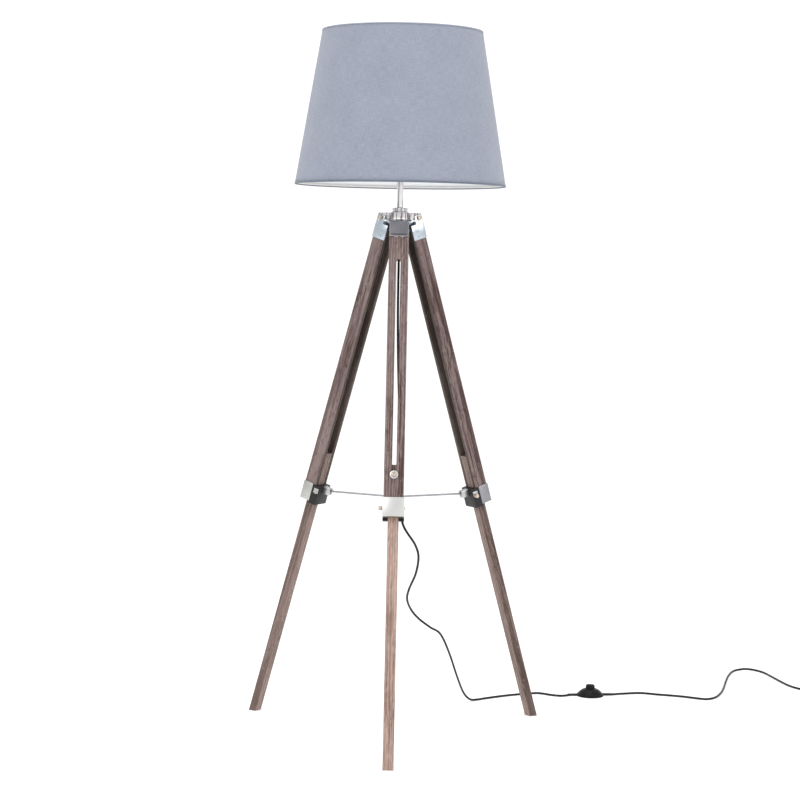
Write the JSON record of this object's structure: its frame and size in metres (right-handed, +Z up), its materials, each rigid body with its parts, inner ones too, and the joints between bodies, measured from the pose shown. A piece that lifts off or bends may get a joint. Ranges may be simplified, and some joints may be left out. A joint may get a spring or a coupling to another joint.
{
  "type": "tripod floor lamp",
  "caption": "Tripod floor lamp: three telescoping wooden legs hinged on a steel head, tapered fabric shade, rod spreader, cord and footswitch.",
  "frame": {"origin": "on the floor under the middle of the lamp's bounding box, without its free cord", "axes": "+Z up, -Y towards the front leg, +X towards the footswitch; the lamp's own axis stands a little behind the origin"},
  "size_m": [1.474, 1.1268, 1.5],
  "materials": {
    "bulb_cap": "bright steel",
    "bulb_glass": "opal",
    "clamp_block_front": "moulded",
    "clamp_block_left": "moulded",
    "clamp_block_right": "moulded",
    "collar_front": "polished plate",
    "collar_left": "polished plate",
    "collar_right": "polished plate",
    "collar_screw_front": "brass plate",
    "collar_screw_left": "brass plate",
    "collar_screw_right": "brass plate",
    "cord_coil": "matt black",
    "cord_gland": "matt black",
    "cord_hang": "matt black",
    "cord_head_run": "matt black",
    "cord_leg_run": "matt black",
    "cord_tail": "matt black",
    "head_boss": "polished plate",
    "head_nut": "polished plate",
    "head_plate": "polished plate",
    "hinge_bolt_front": "bright steel",
    "hinge_bolt_left": "bright steel",
    "hinge_bolt_right": "bright steel",
    "hinge_nut_front": "brass plate",
    "hinge_nut_left": "brass plate",
    "hinge_nut_right": "brass plate",
    "lampholder": "moulded",
    "lower_leg_front": "weathered open-grain wood",
    "lower_leg_left": "weathered open-grain wood",
    "lower_leg_right": "weathered open-grain wood",
    "plug": "polished black moulding",
    "pole": "polished plate",
    "rod_lug_front": "polished plate",
    "rod_lug_left": "polished plate",
    "rod_lug_right": "polished plate",
    "shade_bottom_wire": "bright steel",
    "shade_fabric": "fine woven",
    "shade_liner": "moulded",
    "shade_ring": "moulded",
    "shade_spider": "bright steel",
    "shade_top_wire": "bright steel",
    "slot_bolt_front": "bright steel",
    "slot_bolt_left": "bright steel",
    "slot_bolt_right": "bright steel",
    "slot_washer_front": "polished plate",
    "slot_washer_left": "polished plate",
    "slot_washer_right": "polished plate",
    "spreader_hub": "bright steel",
    "spreader_rod_front": "bright steel",
    "spreader_rod_left": "bright steel",
    "spreader_rod_right": "bright steel",
    "switch_body": "polished black moulding",
    "switch_button": "polished black moulding",
    "top_bracket_front": "polished plate",
    "top_bracket_left": "polished plate",
    "top_bracket_right": "polished plate",
    "upper_leg_front": "weathered open-grain wood",
    "upper_leg_left": "weathered open-grain wood",
    "upper_leg_right": "weathered open-grain wood"
  },
  "bodies": {
    "head": {"head_plate": "head_plate", "head_boss": "head_boss", "head_nut": "head_nut", "pole": "pole", "cord_gland": "cord_gland", "lampholder": "lampholder", "shade_ring": "shade_ring", "bulb_cap": "bulb_cap", "bulb_glass": "bulb_glass", "shade_fabric": "shade_fabric", "shade_liner": "shade_liner", "shade_top_wire": "shade_top_wire", "shade_bottom_wire": "shade_bottom_wire", "shade_spider": "shade_spider", "spreader_hub": "spreader_hub", "cord_head_run": "cord_head_run", "cord_hang": "cord_hang", "cord_tail": "cord_tail", "cord_coil": "cord_coil", "plug": "plug", "switch_body": "switch_body", "hinge_bolt_front": "hinge_bolt_front", "hinge_bolt_right": "hinge_bolt_right", "hinge_bolt_left": "hinge_bolt_left"},
    "leg_front": {"upper_leg_front": "upper_leg_front", "top_bracket_front": "top_bracket_front", "collar_front": "collar_front", "clamp_block_front": "clamp_block_front", "rod_lug_front": "rod_lug_front", "cord_leg_run": "cord_leg_run"},
    "lower_front": {"lower_leg_front": "lower_leg_front", "slot_washer_front": "slot_washer_front"},
    "bolt_front": {"slot_bolt_front": "slot_bolt_front"},
    "screw_front": {"collar_screw_front": "collar_screw_front"},
    "nut_front": {"hinge_nut_front": "hinge_nut_front"},
    "rod_front": {"spreader_rod_front": "spreader_rod_front"},
    "leg_right": {"upper_leg_right": "upper_leg_right", "top_bracket_right": "top_bracket_right", "collar_right": "collar_right", "clamp_block_right": "clamp_block_right", "rod_lug_right": "rod_lug_right"},
    "lower_right": {"lower_leg_right": "lower_leg_right", "slot_washer_right": "slot_washer_right"},
    "bolt_right": {"slot_bolt_right": "slot_bolt_right"},
    "screw_right": {"collar_screw_right": "collar_screw_right"},
    "nut_right": {"hinge_nut_right": "hinge_nut_right"},
    "rod_right": {"spreader_rod_right": "spreader_rod_right"},
    "leg_left": {"upper_leg_left": "upper_leg_left", "top_bracket_left": "top_bracket_left", "collar_left": "collar_left", "clamp_block_left": "clamp_block_left", "rod_lug_left": "rod_lug_left"},
    "lower_left": {"lower_leg_left": "lower_leg_left", "slot_washer_left": "slot_washer_left"},
    "bolt_left": {"slot_bolt_left": "slot_bolt_left"},
    "screw_left": {"collar_screw_left": "collar_screw_left"},
    "nut_left": {"hinge_nut_left": "hinge_nut_left"},
    "rod_left": {"spreader_rod_left": "spreader_rod_left"},
    "button": {"switch_button": "switch_button"}
  },
  "joints": [
    {"name": "fold_front", "type": "hinge", "parent": "head", "child": "leg_front", "pos_m": [0, 0.03563, 1.107], "axis": [1, 0, 0], "range_deg": [0, 12]},
    {"name": "fold_right", "type": "hinge", "parent": "head", "child": "leg_right", "pos_m": [0.03135, 0.08993, 1.107], "axis": [-0.5, 0.866, 0], "range_deg": [0, 12]},
    {"name": "fold_left", "type": "hinge", "parent": "head", "child": "leg_left", "pos_m": [-0.03135, 0.08993, 1.107], "axis": [-0.5, -0.866, 0], "range_deg": [0, 12]},
    {"name": "telescope_front", "type": "slide", "parent": "leg_front", "child": "lower_front", "axis": [0, 0.2919, 0.9565], "range_m": [0, 0.4]},
    {"name": "rod_swing_front", "type": "hinge", "parent": "head", "child": "rod_front", "pos_m": [0, 0.05383, 0.508], "axis": [1, 0, 0], "range_deg": [0, 84]},
    {"name": "hinge_nut_turn_front", "type": "hinge", "parent": "head", "child": "nut_front", "pos_m": [0, 0.03563, 1.107], "axis": [1, 0, 0], "range_deg": [0, 360]},
    {"name": "collar_screw_turn_front", "type": "hinge", "parent": "leg_front", "child": "screw_front", "pos_m": [0, -0.11718, 0.50499], "axis": [1, 0, 0], "range_deg": [0, 360]},
    {"name": "slot_bolt_turn_front", "type": "hinge", "parent": "lower_front", "child": "bolt_front", "pos_m": [0, -0.13155, 0.57629], "axis": [0, -0.9565, 0.2919], "range_deg": [0, 360]},
    {"name": "telescope_right", "type": "slide", "parent": "leg_right", "child": "lower_right", "axis": [-0.2528, -0.1459, 0.9565], "range_m": [0, 0.4]},
    {"name": "rod_swing_right", "type": "hinge", "parent": "head", "child": "rod_right", "pos_m": [0.01559, 0.08083, 0.508], "axis": [-0.5, 0.866, 0], "range_deg": [0, 84]},
    {"name": "hinge_nut_turn_right", "type": "hinge", "parent": "head", "child": "nut_right", "pos_m": [0.03135, 0.08993, 1.107], "axis": [-0.5, 0.866, 0], "range_deg": [0, 360]},
    {"name": "collar_screw_turn_right", "type": "hinge", "parent": "leg_right", "child": "screw_right", "pos_m": [0.16369, 0.16634, 0.50499], "axis": [-0.5, 0.866, 0], "range_deg": [0, 360]},
    {"name": "slot_bolt_turn_right", "type": "hinge", "parent": "lower_right", "child": "bolt_right", "pos_m": [0.17613, 0.17352, 0.57629], "axis": [0.8283, 0.4782, 0.2919], "range_deg": [0, 360]},
    {"name": "telescope_left", "type": "slide", "parent": "leg_left", "child": "lower_left", "axis": [0.2528, -0.1459, 0.9565], "range_m": [0, 0.4]},
    {"name": "rod_swing_left", "type": "hinge", "parent": "head", "child": "rod_left", "pos_m": [-0.01559, 0.08083, 0.508], "axis": [-0.5, -0.866, 0], "range_deg": [0, 84]},
    {"name": "hinge_nut_turn_left", "type": "hinge", "parent": "head", "child": "nut_left", "pos_m": [-0.03135, 0.08993, 1.107], "axis": [-0.5, -0.866, 0], "range_deg": [0, 360]},
    {"name": "collar_screw_turn_left", "type": "hinge", "parent": "leg_left", "child": "screw_left", "pos_m": [-0.16369, 0.16634, 0.50499], "axis": [-0.5, -0.866, 0], "range_deg": [0, 360]},
    {"name": "slot_bolt_turn_left", "type": "hinge", "parent": "lower_left", "child": "bolt_left", "pos_m": [-0.17613, 0.17352, 0.57629], "axis": [-0.8283, 0.4782, 0.2919], "range_deg": [0, 360]},
    {"name": "button_press", "type": "slide", "parent": "head", "child": "button", "axis": [0, 0, -1], "range_m": [0, 0.0035], "stiffness_N_per_m": 400, "springref_m": -0.003}
  ],
  "couplings": [
    {"joint": "rod_swing_front", "follows": "fold_front", "ratio": 7},
    {"joint": "fold_right", "follows": "fold_front", "ratio": 1},
    {"joint": "rod_swing_right", "follows": "fold_front", "ratio": 7},
    {"joint": "fold_left", "follows": "fold_front", "ratio": 1},
    {"joint": "rod_swing_left", "follows": "fold_front", "ratio": 7}
  ]
}
